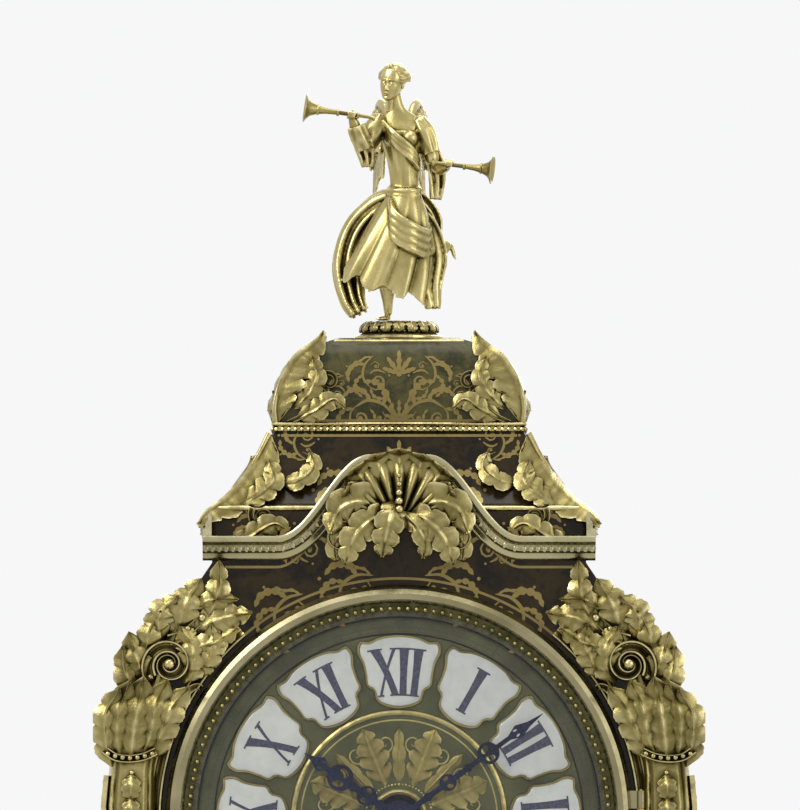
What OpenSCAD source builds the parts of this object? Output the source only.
/* [Case] */
// Height of the dial's centre above the surface the feet stand on
dial_z = 390; // [380:1:470]
// Width of the case at the dial
case_w = 286; // [280:1:345]
// Depth from the front board's face to the back frame's face
case_d = 128; // [124:1:160]
// Width of the case at its waist
waist_w = 176; // [146:1:212]
// Height of the waist
waist_z = 205; // [190:1:230]
// Width of the case at its base
base_w = 248; // [206:1:270]
// Height of the case's underside
base_z = 78; // [70:1:94]
// Height of the shoulders above the dial's centre
shoulder_h = 139; // [134:1:144]
// Half height of the ellipse that the upper sides follow
crown_h = 195; // [180:1:235]
// Thickness of the front board
front_t = 10; // [8:1:12]
// Thickness of the sides, top and bottom
side_t = 9; // [7:1:11]
// Thickness of the back frame
back_t = 8; // [6:1:10]
// Rise of the cornice's arch
arch_rise = 44; // [36:1:54]

/* [Roof and figure] */
// Height of the hood above its base on the top board
hood_h = 73; // [60:1:88]
// Half width of the hood at its base
hood_w = 101; // [92:1:104]
// Half width where hood and cap meet
cap_w = 66; // [56:1:72]
// Height of the cap
cap_h = 49; // [41:1:59]
// Half width of the cap's flat top
cap_top_w = 34; // [29:1:41]
// Radius of the globe's plinth under the figure
globe_r = 24; // [20:1:28]
// Height of the figure
figure_h = 143; // [120:1:171]

/* [Dial] */
// Outer radius of the bezel
bezel_r = 126; // [122:1:130]
// Inner radius of the bezel
sight_r = 109; // [106:1:112]
// Radius of the hole in the front board
dial_hole_r = 116; // [114:1:118]
// How far the bezel ring stands out from the board
bezel_proud = 13; // [11:1:16]
// Rise of the convex glass over the ring
glass_rise = 14; // [12:1:18]
// Thickness of the bezel glass
glass_t = 1.8; // [1.5:0.1:2.2]
// Outer radius of the ring of enamel plaques
plaque_r = 98; // [94:1:100]
// Height of an enamel plaque
plaque_h = 38; // [32:1:42]
// Length of the hour hand
hour_len = 62; // [50:1:74]
// Length of the minute hand
minute_len = 96; // [80:1:99]

/* [Movement] */
// Distance from the front board's face to the front plate
plate_y = 22; // [20:1:24]
// Thickness of the movement's plates
plate_t = 3; // [2.5:0.1:3.6]
// Space between the plates
plate_gap = 42; // [41:1:50]
// Half width of the plates
plate_w = 67; // [66:1:80]
// Distance of the winding arbors from the centre line
wind_x = 33; // [32:1:36]
// Drop of the winding arbors below the dial's centre
wind_drop = 34; // [32:1:36]
// Diameter of the square on a winding arbor, across its corners
square_d = 4.6; // [3.9:0.1:5.5]
// Radial play of an arbor in its hole
play = 0.3; // [0.25:0.05:0.35]
// Length of the pendulum from its pivot to the middle of the bob
pendulum_len = 248; // [230:1:256]
// Radius of the pendulum bob
bob_r = 27; // [22:1:30]
// Radius of the bell
bell_r = 36; // [30:1:37]
// Radius of the pendulum window
window_r = 29; // [25:1:33]

/* [Hidden] */
$fn = 64;
gilt = [0.72, 0.58, 0.24];
shell_dark = [0.16, 0.08, 0.04];
wood = [0.33, 0.2, 0.1];
brass = [0.76, 0.64, 0.33];
steel = [0.62, 0.64, 0.67];
enamel = [0.93, 0.93, 0.9];
clear_glass = [0.8, 0.9, 0.92, 0.35];
blue_steel = [0.12, 0.14, 0.26];

seat = 0.2;
side_points = 22;
knob_reach = 16;
front_y = -(case_d - bezel_proud - glass_rise + knob_reach) / 2;
back_y = front_y + case_d;
mid_y = (front_y + back_y) / 2;
top_z = dial_z + shoulder_h;
C = [0, dial_z];

// Half width of the case at a height
function half_w(z) =
    z >= dial_z ? case_w / 2 * sqrt(1 - pow((z - dial_z) / crown_h, 2)) :
    z >= waist_z ? blend(waist_w / 2, case_w / 2, 0.5 + 0.5 * cos(180 * (dial_z - z) / (dial_z - waist_z))) :
    blend(waist_w / 2, base_w / 2, 1 - cos(90 * (waist_z - z) / (waist_z - base_z)));
function blend(a, b, t) = a + (b - a) * t;
function clamp(v, lo, hi) = min(max(v, lo), hi);
function unit(v) = v / norm(v);
function polar(r, a) = [r * cos(a), r * sin(a)];
function bezier(p, t) =
    pow(1 - t, 3) * p[0] + 3 * t * pow(1 - t, 2) * p[1] + 3 * t * t * (1 - t) * p[2] + pow(t, 3) * p[3];
function curve(p, n) = [for (i = [0:n]) bezier(p, i / n)];
// Meeting point of two circles, on the left of the line from a to b where side is 1
function meet(a, ra, b, rb, side) =
    let (d = norm(b - a), u = (b - a) / d)
    let (k = (ra * ra - rb * rb + d * d) / (2 * d), h = sqrt(ra * ra - k * k))
    a + k * u + side * h * [-u.y, u.x];
function direction(a, b) = atan2(b.y - a.y, b.x - a.x);

// Right half of the case's outline, from z0 up to z1
function flank(z0, z1, inset = 0) =
    [for (i = [0:side_points]) let (z = blend(z0, z1, i / side_points)) [half_w(z) - inset, z]];
function both_sides(pts) = concat(pts, [for (i = [len(pts) - 1:-1:0]) [-pts[i].x, pts[i].y]]);
// Top line of the cornice at a distance x from the centre line
cornice_side_h = 13;
arch_reach = 66;
arch_run = 50;
function cornice_top(x) =
    let (t = clamp((arch_reach - abs(x)) / arch_run, 0, 1))
    top_z + cornice_side_h + arch_rise * (0.5 - 0.5 * cos(180 * t));

// Solid between y0 and y1 of a shape drawn as seen from the front
module xz(y0, y1) {
    translate([0, y1, 0]) rotate([90, 0, 0]) linear_extrude(y1 - y0) children();
}
module rod_y(p, y0, y1, r) {
    translate([p.x, y0, p.y]) rotate([-90, 0, 0]) cylinder(h = y1 - y0, r = r);
}
module mirrored() {
    children();
    mirror([1, 0, 0]) children();
}

// Closed skin over rings of points, with the first and last ring as ends
module skin(rings) {
    n = len(rings);
    k = len(rings[0]);
    sides = [for (i = [0:n - 2]) for (j = [0:k - 1]) let (a = i * k + j, b = i * k + (j + 1) % k)
        each [[a, a + k, b + k], [a, b + k, b]]];
    first = [for (j = [1:k - 2]) [0, j, j + 1]];
    last = [for (j = [1:k - 2]) (n - 1) * k * [1, 1, 1] + [0, j + 1, j]];
    polyhedron([for (r = rings) each r], concat(first, sides, last), convexity = 6);
}
// Ring of points around the path's point i, scaled by w across and by h towards up
function ring(path, i, shape, w, h, up) =
    let (
        t = unit(path[min(i + 1, len(path) - 1)] - path[max(i - 1, 0)]),
        u = unit(cross(up, t)),
        v = cross(t, u)
    )
    [for (s = shape) path[i] + u * s.x * w + v * s.y * h];
round_shape = [for (j = [0:7]) [cos(45 * j), sin(45 * j)]];
leaf_shape = [[1, -0.35], [0.95, 0.3], [0.5, 0.35], [0, 1], [-0.5, 0.35], [-0.95, 0.3], [-1, -0.35]];
// Tapered limb: widths and heights are given at each point of the path
module limb(path, sizes, up = [0, -1, 0]) {
    skin([for (i = [0:len(path) - 1]) ring(path, i, round_shape, sizes[i].x, sizes[i].y, up)]);
}
// Acanthus leaf along a path, with a rib down the middle and lobed edges
module leaf(path, width, thick, lobes, up = [0, -1, 0]) {
    n = len(path) - 1;
    skin([for (i = [0:n])
        let (
            t = i / n,
            w = width * (0.22 + 0.78 * pow(sin(180 * clamp(0.08 + 0.86 * t, 0, 1)), 0.7))
                * (1 + 0.2 * sin(360 * lobes * t)),
            h = thick * (0.35 + 0.65 * sin(180 * clamp(0.1 + 0.8 * t, 0, 1)))
        )
        ring(path, i, leaf_shape, w, h, up)]);
}
// Flat band along a path drawn in the plane, with a width at each end
module band2d(path, w0, w1) {
    n = len(path) - 1;
    function side(i, s) =
        let (t = unit(path[min(i + 1, n)] - path[max(i - 1, 0)]), w = blend(w0, w1, i / n) / 2)
        path[i] + s * w * [-t.y, t.x];
    polygon(concat([for (i = [0:n]) side(i, 1)], [for (i = [n:-1:0]) side(i, -1)]));
}
// Spiral of a scroll around c, from radius r0 at angle a0 to radius r1
function spiral(c, r0, r1, a0, sweep, n) =
    [for (i = [0:n]) c + polar(blend(r0, r1, i / n), a0 + sweep * i / n)];
// Box with curved sides, from levels of half width, half depth and height
module loft(levels) {
    skin([for (l = levels) [[l.x, -l.y, l.z], [l.x, l.y, l.z], [-l.x, l.y, l.z], [-l.x, -l.y, l.z]]]);
}

// The case as a solid block, grown by a gap, for fitting mounts to it
module case_block(gap) {
    xz(front_y - gap, back_y + gap) polygon(both_sides(flank(base_z, top_z, -gap)));
}
module on_case() {
    difference() {
        children();
        case_block(seat);
    }
}

module case_front() color(shell_dark) {
    xz(front_y, front_y + front_t) difference() {
        union() {
            polygon(both_sides(flank(base_z, top_z)));
            polygon(concat(
                [[-hood_w, top_z - 1], [hood_w, top_z - 1]],
                [for (i = [20:-1:-20]) [i * hood_w / 20, cornice_top(i * hood_w / 20) - cornice_drop]]));
        }
        translate(C) circle(r = dial_hole_r);
        translate(bob_p) circle(r = window_r);
    }
}
module case_carcass() color(wood) {
    y0 = front_y + front_t;
    y1 = back_y - back_t;
    mirrored() xz(y0, y1) polygon(concat(
        flank(base_z + side_t, top_z - side_t),
        [for (i = [side_points:-1:0]) flank(base_z + side_t, top_z - side_t, side_t)[i]]));
    xz(y0, y1) polygon(both_sides(flank(top_z - side_t, top_z)));
    xz(y0, y1) polygon(both_sides(flank(base_z, base_z + side_t)));
}

door_w = 66;
door_z0 = base_z + 42;
door_z1 = top_z - 22;
door_lap = 6;
module door_shape(grow) {
    hull() {
        translate([-door_w - grow, door_z0 - grow]) square([2 * (door_w + grow), 1]);
        translate([0, door_z1 - door_w]) circle(r = door_w + grow);
    }
}
module back_frame() color(wood) {
    xz(back_y - back_t, back_y) difference() {
        polygon(both_sides(flank(base_z, top_z)));
        translate([-door_w, door_z0]) square([2 * door_w, door_z1 - door_w - door_z0]);
        translate([0, door_z1 - door_w]) circle(r = door_w);
    }
}

// Shelf that carries the movement, on cleats along the sides, with a bracket up to each plate
seat_z = dial_z - 84;
seat_board_t = 9;
cleat_w = 12;
module seat_board() color(wood) {
    reach = half_w(seat_z) - side_t - 1;
    y0 = front_y + plate_y - 4;
    y1 = front_y + plate_y + 2 * plate_t + plate_gap + 4;
    difference() {
        translate([-reach, y0, seat_z]) cube([2 * reach, y1 - y0, seat_board_t]);
        translate([-12, y1 - 14, seat_z - 1]) cube([24, 15, seat_board_t + 2]);
    }
    low = seat_z - 14;
    outer = flank(low, seat_z, side_t + seat);
    mirrored() xz(y0, y1) polygon(concat(outer, [for (i = [side_points:-1:0]) outer[i] - [cleat_w, 0]]));
}

// Hood and cap
hood_d = 60;
cap_d = 38;
cap_top_d = 24;
hood_z = top_z + hood_h;
cap_top = hood_z + cap_h;
// Levels of the hood's outside, drawn in by an inset
function hood_levels(inset) = [for (l = [
    [0, 0], [0.37, 0], [0.42, 0.16], [0.52, 0.4], [0.66, 0.6], [0.82, 0.79], [0.93, 0.9], [1, 1]])
    [blend(hood_w, cap_w, l.y) - inset, blend(hood_d, cap_d, l.y) - inset, l.x * hood_h]];
module hood() color(shell_dark) {
    translate([0, mid_y + hood_shift, top_z]) difference() {
        loft(hood_levels(0));
        translate([0, 0, -0.01]) loft([for (l = hood_levels(8)) [l.x, l.y, l.z * 0.9]]);
    }
}
// The hood stands behind the tympanum
hood_shift = max(0, front_y + front_t - (mid_y - hood_d)) + 0.3;
// Levels of the cap: a cushion that closes in to a flat top
function cap_levels(inset) = [for (l = [
    [0, 0.03], [0.18, 0], [0.36, 0.04], [0.52, 0.12], [0.66, 0.24], [0.78, 0.38], [0.88, 0.55], [0.95, 0.77],
    [1, 1]])
    [blend(cap_w, cap_top_w, l.y) - inset, blend(cap_d, cap_top_d, l.y) - inset, l.x * cap_h]];
module cap() color(shell_dark) translate([0, mid_y + hood_shift, hood_z]) loft(cap_levels(0));

// Leaves on the corners of hood and cap, and the mouldings under and over the cap
module roof_mounts() color(gilt) {
    shift = mid_y + hood_shift;
    difference() {
        union() for (sx = [-1, 1]) for (sy = [-1, 1]) {
            up = unit([sx, sy, 0.5]);
            leaf([for (l = hood_levels(-1)) if (l.z > hood_h * 0.3)
                [sx * l.x, shift + sy * l.y, top_z + l.z - 1]], 9, 7, 2.5, up);
            leaf([for (l = cap_levels(-1)) if (l.x > cap_top_w + 3)
                [sx * l.x, shift + sy * l.y, hood_z + l.z]], 9, 7, 2, up);
        }
        translate([0, shift, top_z]) loft(hood_levels(-seat));
        translate([0, shift, hood_z]) loft(cap_levels(-seat));
        translate([0, shift, hood_z]) loft(collar_levels(-seat));
        translate([0, front_y + 10 - cornice_y, top_z + 24]) cube([250, 20, 50], center = true);
    }
    difference() {
        translate([0, shift, hood_z]) loft(collar_levels(0));
        translate([0, shift, hood_z]) loft(cap_levels(-seat));
        translate([0, shift, top_z]) loft(hood_levels(-seat));
    }
}
function collar_levels(inset) = [for (l = [[-3, -2], [-2, 2], [2, 3], [3, 0]])
    [cap_w + l.y - inset, cap_d + l.y - inset, l.x]];

// Arched cornice: one moulding that follows the arch, with stepped returns along the sides
cornice_drop = 13;
cornice_y = 12;
cornice_reach = 106;
cornice_profile = [[0, 0], [12, 0], [12, 4], [8.5, 5], [7.5, 8], [5, 9], [4.5, 13], [0, 13]];
return_steps = [[4, 5], [9, 3], [13, 1]];
module cornice() color(gilt) {
    n = 16;
    skin([for (i = [-n:n]) let (x = i * cornice_reach / n)
        [for (p = cornice_profile) [x, front_y - p.x, cornice_top(x) - p.y]]]);
    mirrored() for (s = return_steps)
        translate([hood_w + seat, front_y, top_z + cornice_side_h - s[0]])
            cube([s[1] - seat, case_d - 8, s[0]]);
}

// Shell and acanthus leaves over the middle of the arch
module crest_mount() color(gilt) {
    y = front_y - cornice_y + 1;
    c = [0, top_z + 16];
    difference() {
        union() {
            for (k = [-3:3]) {
                a = 90 + 22 * k;
                r = 40 - 2 * abs(k);
                leaf([for (i = [0:8]) let (t = i / 8) [
                    c.x + r * t * cos(a), y - 3 - 8 * sin(180 * min(t, 0.9)) + 4 * t, c.y + r * t * sin(a)]],
                    8.5, 5, 1, [0, -1, 0]);
            }
            mirrored() leaf(curve([[3, y, c.y + 2], [20, y - 11, c.y + 24], [46, y - 7, c.y + 8],
                [30, y - 5, c.y - 18]], 14), 10, 6, 3);
            leaf(curve([[0, y - 4, c.y + 8], [2, y - 12, c.y - 2], [-4, y - 11, c.y - 14],
                [-6, y - 5, c.y - 24]], 10), 10, 6, 2);
        }
        translate([-60, front_y - cornice_y - seat, top_z - 40]) cube([120, 60, 140]);
    }
}

// Globe under the figure, on its stepped plinth
globe_h = 10;
module figure_base() color(gilt) {
    translate([0, mid_y + hood_shift, cap_top]) rotate_extrude() polygon([
        [0, 0], [globe_r, 0], [globe_r, 2], [globe_r - 3, 3], [globe_r - 5, 4.5], [globe_r - 4, 6],
        [globe_r - 6, 8], [globe_r - 11, globe_h], [0, globe_h]]);
}

// Winged figure: head, torso, arms, legs, drapery and wings, all worked out from its height
figure_z = cap_top + globe_h;
function fig(x, y, z) = [x * figure_h, mid_y + hood_shift + y * figure_h, figure_z + z * figure_h];
function figs(pts) = [for (p = pts) fig(p.x, p.y, p.z)];
function fig_sizes(s) = [for (v = s) v * figure_h];
module figure() color(gilt) difference() {
    union() {
        fig_head();
        fig_body();
        fig_arms();
        mirrored() translate([-0.06 * figure_h, 0, 0]) fig_wing();
    }
    translate([-figure_h, -figure_h, figure_z - figure_h]) cube([2 * figure_h, 3 * figure_h, figure_h]);
    both_trumpets(0.15);
}
// Head on plain proportions: eyes halfway up, and nose and mouth in thirds below them
module fig_head() {
    h = 0.135;
    c = [-0.02, -0.015, 0.93];
    function face(t, a) = let (front = max(0, cos(a + 90)), across = cos(a),
        nose = exp(-pow((t - 0.4) / 0.09, 2)) * exp(-pow(across / 0.22, 2)) * (a > 180 ? 0.2 : 0),
        chin = exp(-pow((t - 0.1) / 0.1, 2)) * exp(-pow(across / 0.4, 2)) * (a > 180 ? 0.14 : 0),
        brow = exp(-pow((t - 0.6) / 0.07, 2)) * (a > 180 ? 0.05 : 0))
        1 + nose + chin + brow;
    skin([for (i = [0:11]) let (t = 0.02 + 0.96 * i / 11, r = h * 0.40 * pow(sin(180 * pow(t, 0.8)), 0.62))
        [for (j = [0:15]) let (a = 22.5 * j)
            fig(c.x + r * 0.82 * face(t, a) * cos(a), c.y + r * face(t, a) * sin(a), c.z + h * (t - 0.5))]]);
    limb(
        figs([[c.x + 0.01, c.y + 0.035, c.z + 0.01], [c.x + 0.015, c.y + 0.06, c.z + 0.015],
            [c.x + 0.02, c.y + 0.08, c.z + 0.02]]),
        fig_sizes([[0.03, 0.03], [0.03, 0.03], [0.014, 0.014]]), [1, 0, 0]);
    limb(figs([[0, 0, 0.82], [-0.005, -0.002, 0.86], [-0.018, -0.008, 0.9]]),
        fig_sizes([[0.045, 0.04], [0.028, 0.028], [0.028, 0.03]]));
}
module fig_body() {
    limb(
        figs([[0.02, 0.01, 0.5], [0.025, 0, 0.58], [0.02, -0.005, 0.66], [0.01, -0.01, 0.74],
            [0, -0.005, 0.8], [0, 0, 0.83]]),
        fig_sizes([[0.095, 0.07], [0.085, 0.065], [0.072, 0.058], [0.09, 0.068], [0.1, 0.06],
            [0.055, 0.04]]));
    // Skirt of the tunic with its folds
    folds = 9;
    skin([for (i = [0:9])
        let (t = i / 9, w = blend(0.17, 0.075, pow(t, 0.7)), lean = 0.02 * t - 0.06 * (1 - t))
        [for (j = [0:35]) let (a = 10 * j, f = 1 + 0.11 * (1 - t) * cos(folds * a))
            fig(lean + w * f * cos(a), 0.02 * (1 - t) + 0.72 * w * f * sin(a), blend(0.1, 0.56, t))]]);
    // Standing leg, and the leg raised behind
    limb(figs([[-0.02, -0.02, 0.3], [-0.05, -0.03, 0.16], [-0.05, -0.02, 0.05], [-0.055, -0.035, 0.0]]),
        fig_sizes([[0.06, 0.06], [0.045, 0.045], [0.027, 0.027], [0.035, 0.05]]));
    limb(
        figs([[0.04, 0.04, 0.36], [0.1, 0.08, 0.26], [0.16, 0.14, 0.28], [0.21, 0.19, 0.33],
            [0.24, 0.22, 0.32]]),
        fig_sizes([[0.06, 0.06], [0.052, 0.05], [0.035, 0.035], [0.024, 0.024], [0.014, 0.03]]),
        [0, -0.6, 0.8]);
    // Scarf that flies out behind the hip
    leaf(figs(curve([[-0.02, 0.05, 0.52], [-0.2, 0.14, 0.56], [-0.28, 0.12, 0.36], [-0.2, 0.06, 0.14]], 16)),
        0.05 * figure_h, 0.03 * figure_h, 3, [0, -1, 0.2]);
}
module fig_arms() {
    limb(figs([[-0.07, 0, 0.79], [-0.125, -0.045, 0.7], [-0.165, -0.09, 0.74], [-0.19, -0.122, 0.785]]),
        fig_sizes([[0.036, 0.036], [0.03, 0.03], [0.023, 0.023], [0.02, 0.024]]));
    limb(figs([[0.07, 0, 0.79], [0.13, -0.02, 0.7], [0.165, -0.07, 0.63], [0.185, -0.116, 0.594]]),
        fig_sizes([[0.036, 0.036], [0.03, 0.03], [0.023, 0.023], [0.02, 0.024]]));
}
module fig_wing() {
    for (k = [0:3]) leaf(figs(curve([[0.08, 0.03, 0.75], [0.16, 0.12, 0.84 - 0.03 * k],
        [0.24, 0.16, 0.78 - 0.07 * k], [0.25 - 0.03 * k, 0.17, 0.62 - 0.09 * k]], 9)),
        0.036 * figure_h, 0.02 * figure_h, 1, [0.2, -1, 0]);
}
// A trumpet from its mouthpiece to its bell
module trumpet(from, to, grow) {
    v = to - from;
    len = norm(v);
    translate(from) rotate([0, acos(v.z / len), atan2(v.y, v.x)]) rotate_extrude($fn = 24) polygon([
        [0, -grow], [1.6 + grow, -grow], [1.1 + grow, 2], [1.3 + grow, len * 0.6], [2.2 + grow, len * 0.8],
        [4 + grow, len * 0.92], [7.5, len], [6.4, len], [3, len * 0.93], [0, len * 0.84]]);
}
module both_trumpets(grow = 0) {
    trumpet(fig(-0.1, -0.118, 0.772), fig(-0.355, -0.13, 0.808), grow);
    trumpet(fig(0.135, -0.11, 0.6), fig(0.352, -0.14, 0.572), grow);
}
module trumpets() color(gilt) both_trumpets();

// Acanthus mounts down the front corners of the case, with a scroll at each shoulder
mount_z0 = dial_z - 132;
module corner_mounts() color(gilt) on_case() mirrored() difference() {
    corner_mount();
    translate([0, front_y - 30, dial_z - hinge_len / 2 - 3]) cube([hinge_x + 11, 30, hinge_len + 6]);
    translate([0, front_y - 38, dial_z - 45]) cube([hinge_x + 13, 30, 90]);
    rod_y(C, front_y - 30, front_y, bezel_r + 1);
}
module corner_mount() {
    n = 30;
    z1 = top_z - 9;
    leaf([for (i = [0:n]) let (z = blend(z1, mount_z0, i / n)) [half_w(z) + 3.5 + 2 * sin(540 * i / n),
        front_y + 1.5, z]], 15, 12, 5, unit([1, -0.9, 0]));
    leaf(curve([[half_w(dial_z + 40) + 6, front_y - 2, dial_z + 40],
        [half_w(dial_z) + 14, front_y - 8, dial_z + 30], [half_w(dial_z) + 18, front_y - 4, dial_z],
        [half_w(dial_z - 30) + 4, front_y - 2, dial_z - 34]], 14), 9, 8, 3, unit([1, -0.9, 0]));
    // Scroll on the face of the shoulder
    c = [half_w(top_z) - 3, top_z - 16];
    xz(front_y - 6, front_y) {
        band2d(spiral(c + [-8, -10], 7, 2.5, 90, 400, 22), 3.4, 2);
        band2d(curve([c + [-8, -3], c + [-2, 0], c + [1, 6], c + [-1, 14]], 8), 3.4, 5);
    }
}
// Leaves along the edges of waist and base
module lower_mounts() color(gilt) on_case() mirrored() {
    n = 22;
    z0 = base_z + 14;
    z1 = mount_z0 - 4;
    leaf([for (i = [0:n]) let (z = blend(z0, z1, i / n)) [half_w(z) + 3, front_y + 1.5, z]],
        12, 10, 4, unit([1, -0.9, 0]));
    xz(front_y - 5, front_y) band2d(spiral([half_w(waist_z) - 16, waist_z + 24], 9, 3, 250, -420, 24), 4, 2);
}

// Moulding around the base of the case
module base_moulding() color(gilt) translate([0, mid_y, base_z]) difference() {
    loft([for (l = [[0, -12], [4, -12], [5, -9], [2, -6], [3, -2], [1, 0]])
        [base_w / 2 + l.x, case_d / 2 + l.x, l.y]]);
    translate([0, 0, -7]) cube([base_w - 40, case_d - 40, 20], center = true);
}

// Scroll foot: a band that swells out under the base and rolls up in a volute at the toe
foot_top = base_z - 12;
foot_reach = 24;
foot_t = 24;
volute_r = 13;
module foot() {
    toe = [foot_reach, volute_r - 1];
    intersection() {
        xz(-foot_t / 2, foot_t / 2) {
            band2d(curve([[-4, foot_top], [26, foot_top - 8], [-16, 24], toe + [-8, -1]], 18), 26, 12);
            translate(toe) circle(r = volute_r);
            translate([-17, foot_top - 5]) square([27, 5]);
        }
        translate([-60, -40, 0]) cube([120, 80, foot_top]);
    }
    xz(-foot_t / 2 - 2, foot_t / 2 + 2) translate(toe) difference() {
        circle(r = volute_r * 0.62);
        circle(r = volute_r * 0.3);
    }
}
foot_x = base_w / 2 - 22;
foot_y = case_d / 2 - 20;
module feet() color(gilt) for (sx = [0, 1]) mirror([sx, 0, 0]) for (sy = [-1, 1])
    translate([foot_x, mid_y + sy * foot_y, 0]) rotate(sy * (sy < 0 ? 36 : 16)) foot();

// Palmette on the face of the base
module apron_mount() color(gilt) on_case() {
    c = [0, base_z + 12];
    for (k = [-2:2]) let (a = 90 + 32 * k, r = 44 - 5 * abs(k))
        leaf([for (i = [0:7]) let (t = i / 7)
            [c.x + r * t * cos(a), front_y - 1 - 6 * sin(180 * t), c.y + r * t * sin(a)]], 7, 5, 1);
    mirrored() leaf(curve([[4, front_y - 2, c.y], [30, front_y - 8, c.y - 8], [52, front_y - 6, c.y + 6],
        [66, front_y - 2, c.y + 2]], 10), 7, 5, 2);
}

// Pendulum window
module window_frame() color(gilt) translate([bob_p.x, front_y, bob_p.y]) rotate([90, 0, 0]) {
    rotate_extrude() polygon([[window_r - 1.5, 0], [window_r + 8, 0], [window_r + 8, 2], [window_r + 5, 5],
        [window_r + 2, 3.5], [window_r - 1.5, 5.5]]);
    for (a = [0:24:359]) rotate(a) translate([window_r + 3.5, 0, 2.9]) sphere(r = 2.6, $fn = 16);
}
module window_glass() color(clear_glass) rod_y(bob_p, front_y + 0.4, front_y + 2.4, window_r - 0.3);

// Dial
dial_y = front_y + 1;
dial_t = 2;
dial_gap = 0.4;
wind_p = C + [wind_x, -wind_drop];
wind_m = C + [-wind_x, -wind_drop];
module dial_plate() color(brass) {
    difference() {
        union() {
            rod_y(C, dial_y, dial_y + dial_t, dial_hole_r - dial_gap);
            translate([0, dial_y, dial_z]) rotate([90, 0, 0]) rotate_extrude()
                polygon([[plaque_r + 1, 0], [sight_r, 0], [sight_r - 1, 1.2], [plaque_r + 2, 1.2]]);
            translate([0, dial_y, dial_z]) rotate([90, 0, 0]) rotate_extrude()
                polygon([[12, 0], [plaque_r - plaque_h - 2, 0], [plaque_r - plaque_h - 3, 1], [13, 1]]);
        }
        rod_y(C, dial_y - 3, dial_y + 5, pipe_r + 1.2);
        for (p = [wind_p, wind_m]) rod_y(p, dial_y - 3, dial_y + 5, square_d / 2 + 2);
    }
    for (a = [48, 132, 228, 312]) rod_y(C + polar(dial_foot_r, a), dial_y + dial_t, front_y + plate_y, 2.2);
}
dial_foot_r = 74;
plaque_y = 2;
// Half outline of a cartouche around its own middle
function plaque_half(h) = [[0, h * 0.5], [h * 0.26, h * 0.47], [h * 0.42, h * 0.4], [h * 0.55, h * 0.4],
    [h * 0.57, h * 0.26], [h * 0.5, h * 0.12], [h * 0.46, -h * 0.06], [h * 0.44, -h * 0.2],
    [h * 0.34, -h * 0.26], [h * 0.3, -h * 0.4], [h * 0.18, -h * 0.47], [0, -h * 0.5]];
module enamel_plaques() color(enamel) for (k = [0:11])
    xz(dial_y - plaque_y, dial_y) translate(C) rotate(30 * k) translate([0, plaque_r - plaque_h / 2])
        polygon(concat(plaque_half(plaque_h), [for (i = [10:-1:1]) [-plaque_half(plaque_h)[i].x,
            plaque_half(plaque_h)[i].y]]));

// Bezel door
hinge_x = bezel_r + 4.5;
hinge_y = front_y - 4.5;
hinge_r = 2.6;
hinge_len = 30;
hinge_knuckle = hinge_len / 3 - 0.4;
module bezel_ring() color(gilt) {
    difference() {
        translate([0, front_y - 0.4, dial_z]) rotate([90, 0, 0]) rotate_extrude($fn = 96) polygon([
            [sight_r, 0], [bezel_r, 0], [bezel_r, 4], [bezel_r - 1.5, 7], [bezel_r - 2.5, 11],
            [bezel_r - 5, bezel_proud - 0.4], [bezel_r - 8, bezel_proud - 1],
            [bezel_r - 10, glass_seat + 2.8], [sight_r + 4.5, glass_seat + 2.2],
            [sight_r + 3, glass_seat + 2.2], [sight_r + 3, glass_seat], [sight_r, glass_seat]]);
        translate([hinge_x, hinge_y, dial_z])
            cylinder(r = hinge_r + 0.4, h = hinge_len / 3 + 0.8, center = true);
    }
    for (s = [-1, 1]) difference() {
        union() {
            translate([hinge_x, hinge_y, dial_z + s * hinge_len / 3])
                cylinder(r = hinge_r, h = hinge_knuckle, center = true);
            translate([hinge_x - 3, hinge_y, dial_z + s * hinge_len / 3])
                cube([6, 2.4, hinge_knuckle], center = true);
        }
        translate([hinge_x, hinge_y, dial_z]) cylinder(r = 1 + play, h = 2 * hinge_len, center = true);
    }
}
glass_seat = 7;
glass_edge_r = sight_r + 2.7;
glass_y = front_y - 0.4 - glass_seat - 0.05;
dome_h = glass_y - glass_t - (front_y - bezel_proud - glass_rise);
dome_r = (pow(glass_edge_r, 2) + pow(dome_h, 2)) / (2 * dome_h);
module bezel_glass() color(clear_glass)
    translate([0, glass_y, dial_z]) rotate([90, 0, 0]) rotate_extrude($fn = 96) polygon(concat(
        [[0, dome_h], [0, dome_h + glass_t]],
        [for (i = [1:12]) let (x = glass_edge_r * i / 12) [x, dome_y(x) + glass_t]],
        [for (i = [12:-1:1]) let (x = glass_edge_r * i / 12) [x, dome_y(x)]]));
function dome_y(x) = sqrt(dome_r * dome_r - x * x) - dome_r + dome_h;
// Fixed leaf of the bezel's hinge, with its pin
module bezel_hinge() color(brass) {
    translate([hinge_x, hinge_y, dial_z]) cylinder(r = hinge_r, h = hinge_knuckle, center = true);
    translate([hinge_x, hinge_y, dial_z]) cylinder(r = 1, h = hinge_len + 1, center = true);
    translate([hinge_x - 1, hinge_y, dial_z - hinge_knuckle / 2])
        cube([2.4, front_y - hinge_y, hinge_knuckle]);
    translate([hinge_x - 1, front_y - 1, dial_z - hinge_len / 2]) cube([9, 1, hinge_len]);
}

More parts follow.
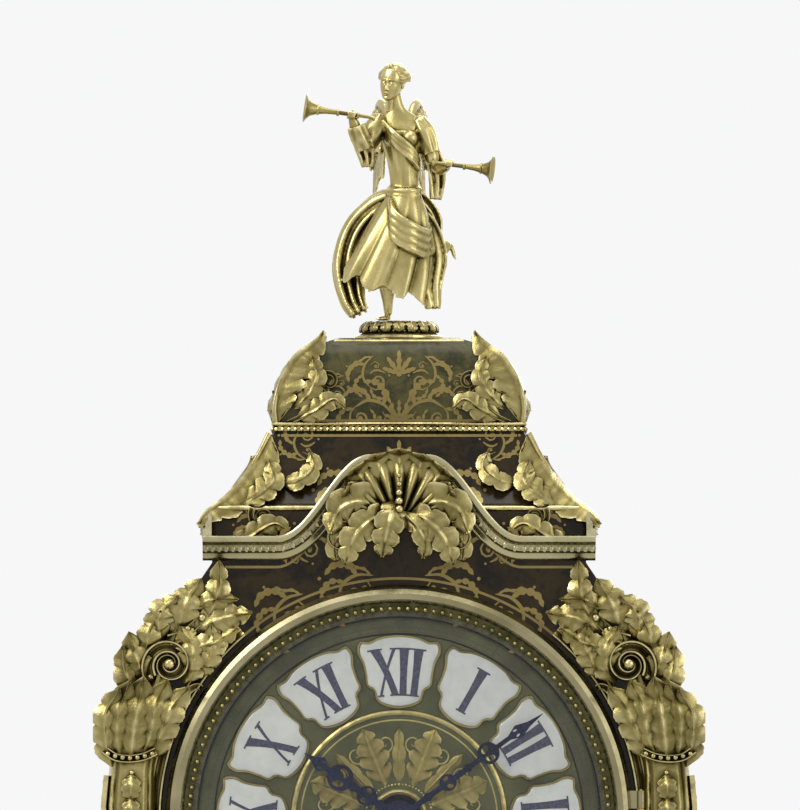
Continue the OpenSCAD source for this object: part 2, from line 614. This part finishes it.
// Back door, its hinges and its turn catch
door_gap = 0.8;
door_t = 6;
back_hinge_x = door_w + door_lap + 2.6;
back_hinge_y = back_y + door_gap + door_t + 1;
catch_p = [-door_w + 14, dial_z - 60];
back_knuckle_r = 2.2;
back_knuckle = 14;
back_hinge_len = 3 * back_knuckle - 2;
hinge_zs = [door_z0 + 45, door_z1 - 90];
module back_door() color(wood) {
    difference() {
        union() {
            xz(back_y + door_gap, back_y + door_gap + door_t) difference() {
                union() {
                    translate([-door_w - door_lap, door_z0 - door_lap])
                        square([2 * (door_w + door_lap), door_z1 - door_w - door_z0 + door_lap]);
                    translate([0, door_z1 - door_w]) circle(r = door_w + door_lap);
                }
                translate(catch_p) circle(r = 3 + play);
            }
            for (z = hinge_zs) for (s = [-1, 1]) {
                knuckle_z = z + s * back_knuckle;
                translate([back_hinge_x, back_hinge_y, knuckle_z])
                    cylinder(r = back_knuckle_r, h = back_knuckle - 1, center = true);
                translate([back_hinge_x - 7, back_y + door_gap + door_t, knuckle_z - (back_knuckle - 1) / 2])
                    cube([7, 1.4, back_knuckle - 1]);
            }
        }
        for (z = hinge_zs) translate([back_hinge_x, back_hinge_y, z])
            cylinder(r = 1 + play, h = back_hinge_len + 20, center = true);
    }
}
module back_hinges() color(brass) for (z = hinge_zs) {
    translate([back_hinge_x, back_hinge_y, z]) cylinder(r = back_knuckle_r, h = back_knuckle, center = true);
    translate([back_hinge_x, back_hinge_y, z]) cylinder(r = 1, h = back_hinge_len + 2, center = true);
    translate([back_hinge_x - 0.7, back_y, z - back_knuckle / 2])
        cube([1.4, back_hinge_y - back_y, back_knuckle]);
    translate([back_hinge_x - 0.7, back_y, z - back_hinge_len / 2]) cube([12, 1, back_hinge_len]);
}
module back_latch() color(brass) {
    y1 = back_y + door_gap + door_t;
    knob = back_y + knob_reach - y1 - 2;
    rod_y(catch_p, back_y - back_t - 3, y1 + 4, 3);
    translate([0, y1, 0]) rod_y(catch_p, 0.4, 2, 7);
    translate([catch_p.x, y1 + 2, catch_p.y]) rotate([-90, 0, 0]) rotate_extrude()
        polygon([[0, 0], [4, 0], [4, 2], [6.5, 3.2], [6.5, 5.6], [5, knob - 0.2], [0, knob]]);
    translate([catch_p.x - 4, back_y - back_t - 3, catch_p.y - 4]) cube([8, 2.4, 26]);
}

// Movement: plates, pillars and back cock. Places of the arbors follow from the tooth counts
front_plate_y = front_y + plate_y;
gap_y = front_plate_y + plate_t;
back_plate_y = gap_y + plate_gap;
rear_y = back_plate_y + plate_t;
barrel_m = 0.75;
second_m = 0.6;
fine_m = 0.5;
barrel_n = 80;
barrel_pinion_n = 12;
second_n = 72;
centre_pinion_n = 10;
centre_n = 84;
third_n = 70;
leaf_n = 7;
escape_n = 30;
escape_r = 14;
arbor_r = 1.2;
pivot_r = 0.7;
barrel_reach = (barrel_n + barrel_pinion_n) * barrel_m / 2;
inter_p = meet(C, (second_n + centre_pinion_n) * second_m / 2, wind_p, barrel_reach, 1);
third_p = C + polar((centre_n + leaf_n) * fine_m / 2, 70);
third_reach = (third_n + leaf_n) * fine_m / 2;
escape_drop = third_p.y - C.y + sqrt(pow(third_reach, 2) - pow(third_p.x, 2));
escape_p = C + [0, escape_drop];
anchor_rise = 20.2;
pivot_p = escape_p + [0, anchor_rise];
bob_p = pivot_p - [0, pendulum_len];

// Strike train on the other side
pin_pinion_n = 8;
pin_n = 60;
warning_pinion_n = 8;
warning_n = 56;
strike_p = C + [-30, 0];
strike2_p = [strike_p.x, wind_m.y + sqrt(pow(barrel_reach, 2) - pow(wind_m.x - strike_p.x, 2))];
pin_p = strike2_p + polar((second_n + pin_pinion_n) * second_m / 2, 100);
warning_p = pin_p + polar((pin_n + warning_pinion_n) * fine_m / 2, 60);
fly_p = warning_p + polar((warning_n + leaf_n) * fine_m / 2, 110);
hammer_p = C + [-54, 62];
lever_p = C + [-54, 8];

plate_z0 = dial_z - 70;
plate_z1 = dial_z + 72;
pillar_ps = [C + [-58, -60], C + [58, -60], C + [-60, 24], C + [58, 60], C + [0, -60]];
module plate(y) difference() {
    xz(y, y + plate_t) difference() {
        translate([-plate_w, plate_z0]) square([2 * plate_w, plate_z1 - plate_z0]);
        for (p = [inter_p, third_p, escape_p, strike2_p, pin_p, warning_p, fly_p, hammer_p, lever_p])
            translate(p) circle(r = pivot_r + play);
        for (p = [wind_p, wind_m]) translate(p) circle(r = wind_r + play);
        for (p = [wind_p, wind_m]) translate(click_pivot(p)) circle(r = y > gap_y ? pivot_r : 1.2 + play);
        translate(C) circle(r = arbor_r + 0.8 + play);
        translate(pivot_p) circle(r = y > gap_y ? 4 : pivot_r + play);
    }
}
wind_r = 2.6;
module front_plate() color(brass) difference() {
    plate(front_plate_y);
    rod_y(minute_p, front_plate_y - 1, gap_y + 1, 1.2);
}
module back_plate() color(brass) difference() {
    plate(back_plate_y);
    rod_y(strike2_p, back_plate_y - 1, rear_y + 1, arbor_r + play);
}
module pillars() color(brass) for (p = pillar_ps) {
    translate([p.x, gap_y, p.y]) rotate([-90, 0, 0]) rotate_extrude() polygon(concat([[0, 0]],
        [for (i = [0:12]) let (t = i / 12)
            [2.6 + 1.6 * pow(cos(180 * t), 2) + 1.2 * sin(180 * t), plate_gap * t]], [[0, plate_gap]]));
}

// Wheel seen from the front: teeth, rim, spokes and hub
module toothed(n, m, phase, thick, tip, add, ded) {
    r = n * m / 2;
    step = 360 / n;
    foot = step * thick * 0.56;
    flank = step * thick / 2;
    point = step * tip / 2;
    polygon([for (i = [0:n - 1]) let (a = phase + i * step) each [
        polar(r - ded * m, a - foot), polar(r, a - flank), polar(r + add * m, a - point),
        polar(r + add * m, a + point), polar(r, a + flank), polar(r - ded * m, a + foot)]]);
}
module wheel2d(n, m, phase, hub, spokes) {
    inner = n * m / 2 - 1.2 * m - 1.6;
    difference() {
        toothed(n, m, phase, 0.44, 0.2, 0.8, 1.2);
        if (spokes > 0) difference() {
            circle(r = inner);
            circle(r = hub + 1.4);
            for (k = [0:spokes - 1]) rotate(k * 360 / spokes) translate([0, -0.8]) square([inner + 1, 1.6]);
        }
    }
}
module wheel(p, y, t, n, m, phase, hub = 2.4, spokes = 5) color(brass)
    xz(y, y + t) translate(p) wheel2d(n, m, phase, hub, spokes);
module pinion(p, y, t, n, m, phase) color(steel)
    xz(y, y + t) translate(p) toothed(n, m, phase + 180 / n, 0.36, 0.18, 0.5, 1.15);
// Arbor with a pivot in each plate
module arbor(p) {
    rod_y(p, gap_y + 0.4, back_plate_y - 0.4, arbor_r);
    rod_y(p, front_plate_y, rear_y, pivot_r);
}

// Planes of the wheels between the plates
low_y = gap_y + 3;
second_y = gap_y + plate_gap - 9;
centre_y = gap_y + plate_gap - 4;
third_y = gap_y + 10;
escape_y = gap_y + plate_gap - 12;
pin_y = gap_y + 20;
warning_y = gap_y + 8;
wheel_t = 1.4;

drum_r = 24.5;
drum_y1 = second_y - 3;
module barrel(p, mate) color(brass) difference() {
    union() {
        xz(low_y, low_y + 2.4) translate(p)
            toothed(barrel_n, barrel_m, direction(p, mate), 0.44, 0.2, 0.8, 1.2);
        rod_y(p, low_y, drum_y1, drum_r);
    }
    rod_y(p, low_y + 2.4, drum_y1 - 1.6, drum_r - 1.5);
    rod_y(p, low_y - 1, drum_y1 + 1, arbor_core_r - 0.6 + play);
}
arbor_core_r = 4.4;
module going_barrel() barrel(wind_p, inter_p);
module strike_barrel() barrel(wind_m, strike2_p);
// Spring wound against the barrel's wall, in from there to the core of the arbor
spring_turns = 7;
spring_t = 0.5;
module mainspring(p) color(steel) xz(low_y + 2.8, drum_y1 - 2) translate(p) {
    steps = spring_turns * 18;
    outer = drum_r - 1.8 - spring_t / 2;
    inner = arbor_core_r + 0.6 + spring_t / 2;
    band2d([for (i = [0:steps]) polar(blend(outer, inner, pow(i / steps, 1.1)), 20 * i)],
        spring_t, spring_t);
}
module going_mainspring() mainspring(wind_p);
module strike_mainspring() mainspring(wind_m);

// Winding arbor with the barrel's core, ratchet wheel and square
ratchet_n = 24;
ratchet_r = 11;
ratchet_y = front_plate_y - 3;
module winding_arbor(p) color(steel) {
    rod_y(p, low_y + 2.8, drum_y1 - 2, arbor_core_r);
    rod_y(p, gap_y + 0.4, back_plate_y - 0.4, arbor_core_r - 0.6);
    rod_y(p, ratchet_y, rear_y + 1, wind_r);
    xz(ratchet_y, ratchet_y + 2) translate(p) polygon([for (i = [0:ratchet_n - 1])
        let (a = i * 360 / ratchet_n) each [polar(ratchet_r, a), polar(ratchet_r - 1.6, a + 1.5)]]);
    translate([p.x, front_y - 2, p.y]) rotate([-90, 45, 0])
        cylinder(h = ratchet_y - front_y + 2.01, r = square_d / 2, $fn = 4);
}
module going_arbor() winding_arbor(wind_p);
module strike_arbor() winding_arbor(wind_m);
// Click on the front plate, with its tip behind a tooth of the ratchet wheel
function click_pivot(p) = p + [-ratchet_r - 1.2, -1.5 * ratchet_r];
module click_piece(p) color(steel) {
    q = click_pivot(p);
    tip = p + polar(ratchet_r - 0.5, 197.5);
    xz(ratchet_y, ratchet_y + 2) {
        translate(q) circle(r = 3.2);
        polygon([tip, q + [2.6, 0.5], q + [-2.6, 0], tip + [-1.3, -1.2]]);
    }
    rod_y(q, ratchet_y, gap_y - 0.4, 1.2);
}
module going_click() click_piece(wind_p);
module strike_click() click_piece(wind_m);

module intermediate_wheel() {
    color(steel) arbor(inter_p);
    wheel(inter_p, second_y, wheel_t, second_n, second_m, direction(inter_p, C));
    pinion(inter_p, low_y - 0.6, 3.8, barrel_pinion_n, barrel_m, direction(inter_p, wind_p));
}
module centre_wheel() {
    color(steel) rod_y(C, front_y - 12, rear_y, 1.2);
    color(steel) rod_y(C, gap_y + 0.4, back_plate_y - 0.4, 2);
    color(steel) rod_y(C, front_plate_y, gap_y + 1, 2);
    wheel(C, centre_y, wheel_t, centre_n, fine_m, direction(C, third_p));
    pinion(C, second_y - 1, 3.4, centre_pinion_n, second_m, direction(C, inter_p));
}
module third_wheel() {
    color(steel) arbor(third_p);
    wheel(third_p, third_y, wheel_t, third_n, fine_m, direction(third_p, escape_p));
    pinion(third_p, centre_y - 1, 3.2, leaf_n, fine_m, direction(third_p, C));
}
module escape_wheel() {
    color(steel) arbor(escape_p);
    pinion(escape_p, third_y - 1, 3.4, leaf_n, fine_m, direction(escape_p, third_p));
    color(brass) xz(escape_y, escape_y + 1.2) translate(escape_p) difference() {
        polygon([for (i = [0:escape_n - 1]) let (a = i * 360 / escape_n) each [
            polar(escape_r - 2.2, a - 2), polar(escape_r, a + 3), polar(escape_r, a + 4),
            polar(escape_r - 2.2, a + 4.6)]]);
        difference() {
            circle(r = escape_r - 3.4);
            circle(r = 3.4);
            for (k = [0:3]) rotate(90 * k) translate([0, -0.7]) square([escape_r, 1.4]);
        }
    }
}
// Anchor over the escape wheel, with its pallets clear of the teeth's circle, and the crutch behind
pallet_clear = 1.05;
crutch_y = rear_y + 5;
crutch_len = 62;
pendulum_y = rear_y + 22;
module anchor() color(steel) {
    rod_y(pivot_p, gap_y + 0.4, cock_y - 0.4, arbor_r);
    rod_y(pivot_p, front_plate_y, cock_y + 2, pivot_r);
    r = escape_r + pallet_clear;
    down = escape_p - pivot_p;
    xz(escape_y - 0.6, escape_y + 1.8) translate(pivot_p) difference() {
        union() {
            circle(r = 3.4);
            for (s = [-1, 1])
                band2d([[0, 0], [s * 6, -1], [s * 11.6, -5], down + polar(r + 0.9, 90 - s * 44)], 4, 2.2);
        }
        translate(down) circle(r = r);
    }
    rod_y(pivot_p, crutch_y, crutch_y + 5, 3);
    translate([pivot_p.x - 1, crutch_y + 1, pivot_p.y - crutch_len]) cube([2, 2, crutch_len]);
    translate([-3.6, crutch_y + 1, pivot_p.y - crutch_len]) cube([7.2, 2, 3]);
    for (s = [-1, 1]) translate([s * 2.7 - 0.9, crutch_y + 1, pivot_p.y - crutch_len])
        cube([1.8, pendulum_y - crutch_y + 2, 3]);
}
// Cock behind the back plate: rear bearing of the anchor, and the clamp that holds the pendulum
cock_y = rear_y + 13;
module back_cock() color(brass) difference() {
    union() {
        for (s = [-1, 1]) translate([s * 15 - 3, rear_y, pivot_p.y - 6]) cube([6, 14, 12]);
        translate([-18, cock_y, pivot_p.y - 6]) cube([36, 3, 12]);
        translate([-4, cock_y + 2, pivot_p.y + 1.4]) cube([8, pendulum_y - cock_y + 1, 9]);
        translate([-4, cock_y, pivot_p.y + 1.4]) cube([8, 3, 9]);
    }
    rod_y(pivot_p, rear_y - 1, cock_y + 4, pivot_r + play);
}

// Pendulum
module pendulum_rod() color(steel) {
    translate([-2.5, pendulum_y - 0.3, pivot_p.y - 10]) cube([5, 0.6, 11]);
    translate([-4, pendulum_y - 1.5, pivot_p.y - 16]) cube([8, 3, 7]);
    translate([0, pendulum_y, bob_p.y - bob_r - 16]) cylinder(r = 1.5, h = pendulum_len + bob_r + 16 - 14);
}
bob_t = 14;
module pendulum_bob() color(brass) difference() {
    translate([0, pendulum_y, bob_p.y]) rotate([90, 0, 0]) rotate_extrude() polygon([[0, -bob_t / 2],
        [bob_r * 0.55, -bob_t * 0.42], [bob_r * 0.9, -bob_t * 0.2], [bob_r, -0.5], [bob_r, 0.5],
        [bob_r * 0.9, bob_t * 0.2], [bob_r * 0.55, bob_t * 0.42], [0, bob_t / 2]]);
    translate([0, pendulum_y, bob_p.y]) cylinder(r = 1.5 + play / 2, h = 3 * bob_r, center = true);
}
module rating_nut() color(brass) translate([0, pendulum_y, bob_p.y - bob_r - 8]) difference() {
    cylinder(r = 6, h = 5);
    translate([0, 0, -1]) cylinder(r = 1.5 + play, h = 8);
    for (k = [0:11]) rotate(30 * k) translate([6.2, 0, -1]) cylinder(r = 0.8, h = 8);
}

// Motion work between front plate and dial
motion_m = 0.5;
cannon_n = 20;
minute_n = 60;
small_n = 15;
hour_n = 60;
motion_d = (cannon_n + minute_n) * motion_m / 2;
hour_m = 2 * motion_d / (small_n + hour_n);
minute_p = C + polar(motion_d, 120);
cannon_y = front_plate_y - 4;
hour_y = front_plate_y - 9;
pipe_r = 4;
hour_hand_y = front_y - 6;
minute_hand_y = front_y - 9.5;
hand_t = 1.2;
time_hour = 10;
time_minute = 9;
minute_a = -6 * time_minute;
hour_a = -30 * time_hour - time_minute / 2;
module cannon_pinion() color(brass) difference() {
    union() {
        pinion(C, cannon_y, 2.6, cannon_n, motion_m, direction(C, minute_p));
        rod_y(C, minute_hand_y + hand_t + 0.01, cannon_y + 1, 2.4);
    }
    rod_y(C, front_y - 20, front_plate_y, 1.3);
}
module minute_wheel() {
    difference() {
        union() {
            wheel(minute_p, cannon_y + 0.5, wheel_t, minute_n, motion_m, direction(minute_p, C), 2, 4);
            pinion(minute_p, hour_y - 0.4, 5.2, small_n, hour_m, direction(minute_p, C));
            color(brass) rod_y(minute_p, hour_y - 0.4, cannon_y + 1.9, 2.2);
        }
        rod_y(minute_p, hour_y - 2, gap_y, 1.2 + play);
    }
}
module hour_wheel() color(brass) difference() {
    union() {
        wheel(C, hour_y, wheel_t, hour_n, hour_m, direction(C, minute_p), 3.4, 5);
        rod_y(C, hour_hand_y + hand_t + 0.01, hour_y + wheel_t, pipe_r);
    }
    rod_y(C, front_y - 20, front_plate_y, 2.4 + play);
}
// Pierced hand with a hub, a stem, two rings and a point
module hand2d(len, w, bore) difference() {
    union() {
        circle(r = w * 0.75);
        polygon([[-w * 0.16, 0], [w * 0.16, 0], [w * 0.11, len * 0.765], [w * 0.34, len * 0.83], [0, len],
            [-w * 0.34, len * 0.83], [-w * 0.11, len * 0.765]]);
        translate([0, len * 0.34]) circle(r = w * 0.42);
        translate([0, len * 0.62]) circle(r = w * 0.55);
        polygon([[0, -w * 1.6], [w * 0.3, -w * 0.9], [0, 0], [-w * 0.3, -w * 0.9]]);
    }
    circle(r = bore);
    for (s = [-1, 1]) {
        translate([s * w * 0.22, len * 0.34]) circle(r = w * 0.12);
        translate([s * w * 0.28, len * 0.62]) circle(r = w * 0.17);
    }
}
module hour_hand() color(blue_steel) xz(hour_hand_y, hour_hand_y + hand_t) translate(C) rotate(hour_a)
    hand2d(hour_len, 13, 2.4 + play + 0.2);
module minute_hand() color(blue_steel) xz(minute_hand_y, minute_hand_y + hand_t)
    translate(C) rotate(minute_a) hand2d(minute_len, 11, 1.3);

module strike_second_wheel() {
    color(steel) {
        rod_y(strike2_p, gap_y + 0.4, rear_y + 4, arbor_r);
        rod_y(strike2_p, front_plate_y, gap_y + 1, pivot_r);
    }
    wheel(strike2_p, second_y, wheel_t, second_n, second_m, direction(strike2_p, pin_p));
    pinion(strike2_p, low_y - 0.6, 3.8, barrel_pinion_n, barrel_m, direction(strike2_p, wind_m));
}
// Count wheel: notches at the sum of the hours, with one blow between them
count_r = 21;
blows = 90;
function hours_to(k) = k * (k + 1) / 2 + k;
module count_wheel() color(brass) xz(rear_y + 1.6, rear_y + 3) translate(strike2_p) difference() {
    circle(r = count_r);
    circle(r = arbor_r + 0.02);
    for (k = [0:11]) rotate(hours_to(k) * 360 / blows) translate([count_r - 2.2, -0.9]) square([4, 1.8]);
    for (k = [0:4]) rotate(72 * k + 20) translate([count_r * 0.55, 0]) circle(r = count_r * 0.2);
}
module pin_wheel() {
    color(steel) arbor(pin_p);
    wheel(pin_p, pin_y, wheel_t, pin_n, fine_m, direction(pin_p, warning_p));
    pinion(pin_p, second_y - 1, 3.4, pin_pinion_n, second_m, direction(pin_p, strike2_p));
    color(steel) for (k = [0:9]) rod_y(pin_p + polar(12.6, 36 * k), pin_y + 0.4, pin_y + 4.4, 0.6);
}
module warning_wheel() {
    color(steel) arbor(warning_p);
    wheel(warning_p, warning_y, wheel_t, warning_n, fine_m, direction(warning_p, fly_p));
    pinion(warning_p, pin_y - 1, 3.4, warning_pinion_n, fine_m, direction(warning_p, pin_p));
    color(steel) rod_y(warning_p + polar(12.5, 200), warning_y + 0.4, warning_y + 4, 0.5);
}
module fly() {
    color(steel) arbor(fly_p);
    pinion(fly_p, warning_y - 1, 3.4, leaf_n, fine_m, direction(fly_p, warning_p));
    color(brass) translate([fly_p.x - 9, warning_y + 8, fly_p.y - 0.4]) cube([18, plate_gap - 22, 0.8]);
}
// Hammer: arbor, tail near the pins, and an arm up to the head beside the bell's rim
bell_y = gap_y + plate_gap * 0.5;
bell_z = plate_z1 + 12;
head_r = 4.5;
module hammer() color(steel) {
    arbor(hammer_p);
    head = [-bell_r - 8.2, bell_z + 5];
    xz(pin_y + 3, pin_y + 5.5) {
        translate(hammer_p) circle(r = 3);
        band2d([hammer_p, hammer_p + [-3, 14], head + [0, -8], head], 3.4, 2.6);
        band2d([hammer_p, hammer_p + [0, -14], hammer_p + [1.8, -24]], 3.4, 1.8);
    }
    translate([head.x - 8, pin_y + 4.25, head.y]) rotate([0, 90, 0]) cylinder(r = head_r, h = 14);
}
// Detent and lifting piece of the strike
module strike_levers() color(steel) {
    arbor(lever_p);
    xz(warning_y + 5, warning_y + 7) {
        translate(lever_p) circle(r = 2.8);
        band2d([lever_p, lever_p + [4, 16], lever_p + [13, 25]], 3, 1.6);
    }
    xz(gap_y + 29, gap_y + 31) {
        translate(lever_p) circle(r = 2.8);
        band2d([lever_p, lever_p + [2, -20]], 3, 1.6);
    }
}
// Bell on its standard, which stands on the back plate
bell_h = 25;
module bell() {
    color(brass) translate([0, bell_y, bell_z]) rotate_extrude() polygon([
        [1.6, bell_h + 1.6], [9, bell_h + 1], [20, bell_h - 4], [bell_r - 6, bell_h - 14], [bell_r - 2, 6],
        [bell_r, 0], [bell_r - 2, 0], [bell_r - 4, 6], [bell_r - 8, bell_h - 15], [19, bell_h - 6],
        [9, bell_h - 1], [1.6, bell_h - 0.6]]);
    color(steel) {
        translate([0, bell_y, plate_z1 + 1]) cylinder(r = 1.6, h = bell_z + bell_h - plate_z1 + 3);
        translate([0, bell_y, bell_z + bell_h + 1.6]) cylinder(r = 4, h = 2.4, $fn = 6);
        translate([-4, bell_y - 4, plate_z1 + 1]) cube([32, 8, 3]);
        translate([20, bell_y - 4, plate_z1 + 1]) cube([8, rear_y - bell_y + 7, 3]);
        translate([20, rear_y, plate_z1 - 14]) cube([8, 3, 18]);
    }
}

case_front();
case_carcass();
back_frame();
seat_board();
hood();
cap();
roof_mounts();
cornice();
crest_mount();
figure_base();
figure();
trumpets();
corner_mounts();
lower_mounts();
base_moulding();
feet();
apron_mount();
window_frame();
window_glass();
dial_plate();
enamel_plaques();
front_plate();
back_plate();
pillars();
back_cock();
bell();
bezel_ring();
bezel_glass();
bezel_hinge();
back_door();
back_latch();
back_hinges();
hour_hand();
hour_wheel();
minute_hand();
cannon_pinion();
minute_wheel();
centre_wheel();
intermediate_wheel();
third_wheel();
escape_wheel();
anchor();
pendulum_rod();
pendulum_bob();
rating_nut();
going_barrel();
going_mainspring();
going_arbor();
going_click();
strike_barrel();
strike_mainspring();
strike_arbor();
strike_click();
strike_second_wheel();
count_wheel();
pin_wheel();
warning_wheel();
fly();
hammer();
strike_levers();
